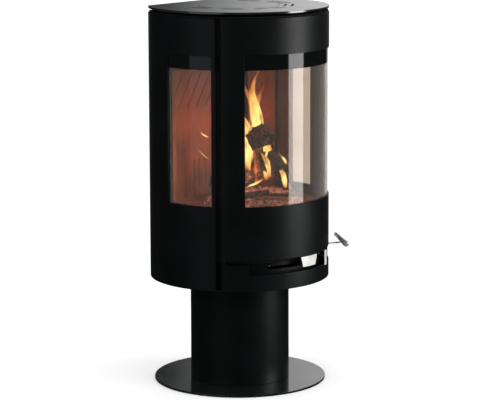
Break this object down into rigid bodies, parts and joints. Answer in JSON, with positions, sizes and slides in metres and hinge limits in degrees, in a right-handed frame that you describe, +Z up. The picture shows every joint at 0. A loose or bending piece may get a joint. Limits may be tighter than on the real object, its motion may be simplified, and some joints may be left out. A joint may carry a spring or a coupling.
{
  "type": "wood burning stove",
  "caption": "Round-fronted steel wood stove on a round pedestal, with a curved glass door, curved side windows, a flat back and a rear flue outlet.",
  "frame": {"origin": "on the floor, at the centre of the round base plate, which is the axis of the round front", "axes": "+Z up, -Y out of the stove's front, +X to the right of someone facing the front, +Y towards the flat back"},
  "size_m": [0.5221, 0.498, 1.052],
  "materials": {
    "black_steel": "satin black heat-resistant paint",
    "plate_steel": "satin dark grey heat-resistant paint",
    "inner_black": "matt black",
    "bare_steel": "plain zinc-plated steel",
    "polished_steel": "polished",
    "cast_iron": "sand cast, sooty",
    "stove_glass": "clear ceramic glass, faint smoke tint",
    "rope_seal": "braided glass-fibre rope",
    "fire_board": "pressed vermiculite, heat-stained",
    "charred_wood": "charred split birch",
    "embers": "glowing embers and ash"
  },
  "bodies": {
    "root": {"pedestal_column": "black_steel", "left_side_panel": "black_steel", "right_side_panel": "black_steel", "rear_panel": "black_steel", "lower_fascia": "black_steel", "base_plate": "plate_steel", "top_plate": "plate_steel", "body_floor": "inner_black", "body_lid": "inner_black", "firebox_base": "inner_black", "front_frame": "inner_black", "left_side_wall": "inner_black", "right_side_wall": "inner_black", "firebox_back": "inner_black", "plinth_wall": "inner_black", "top_blank": "inner_black", "top_spacer_front": "inner_black", "top_spacer_left": "inner_black", "top_spacer_rear": "inner_black", "flue_spigot": "inner_black", "air_inlet_spigot": "inner_black", "air_valve_box": "inner_black", "hearth_plate": "inner_black", "hinge_bracket_bottom": "inner_black", "left_side_glass": "stove_glass", "right_side_glass": "stove_glass", "left_glass_seal": "rope_seal", "right_glass_seal": "rope_seal", "hearth_board": "fire_board", "back_board_lower": "fire_board", "back_board_upper": "fire_board", "left_side_board": "fire_board", "right_side_board": "fire_board", "baffle": "fire_board", "ash_pan": "bare_steel", "hinge_pin_bottom": "bare_steel", "hinge_pin_top": "bare_steel", "grate": "cast_iron", "log_top": "charred_wood", "log_right": "charred_wood", "log_left": "charred_wood", "ember_bed": "embers"},
    "door": {"door_panel": "black_steel", "door_frame": "inner_black", "door_glass": "stove_glass", "glass_retainer": "inner_black", "door_seal": "rope_seal", "hinge_leaf_bottom": "inner_black", "hinge_leaf_top": "inner_black", "handle_hanger": "inner_black"},
    "door_handle": {"handle_grip": "polished_steel", "handle_lever": "polished_steel", "handle_shaft": "bare_steel"},
    "air_control": {"air_lever": "bare_steel", "lever_tab": "polished_steel", "air_valve_plate": "bare_steel"},
    "start_air": {"start_air_gate": "bare_steel", "start_air_rod": "polished_steel", "start_air_tab": "polished_steel"},
    "flue_cover": {"flue_cover": "plate_steel"}
  },
  "joints": [
    {"name": "door_hinge", "type": "hinge", "parent": "root", "child": "door", "pos_m": [-0.21227, -0.11621, 0.7], "axis": [0, 0, -1], "range_deg": [0, 105]},
    {"name": "handle_lift", "type": "hinge", "parent": "door", "child": "door_handle", "pos_m": [0.17686, -0.1615, 0.3787], "axis": [-0.6743, -0.7385, 0], "range_deg": [0, 12]},
    {"name": "air_lever_swing", "type": "hinge", "parent": "root", "child": "air_control", "pos_m": [0, 0, 0.353], "axis": [0, 0, 1], "range_deg": [-26, 9]},
    {"name": "start_air_pull", "type": "slide", "parent": "root", "child": "start_air", "axis": [0.289, -0.9573, 0], "range_m": [0, 0.03]},
    {"name": "flue_cover_lift", "type": "slide", "parent": "root", "child": "flue_cover", "axis": [0, 0, 1], "range_m": [0, 0.05]}
  ]
}
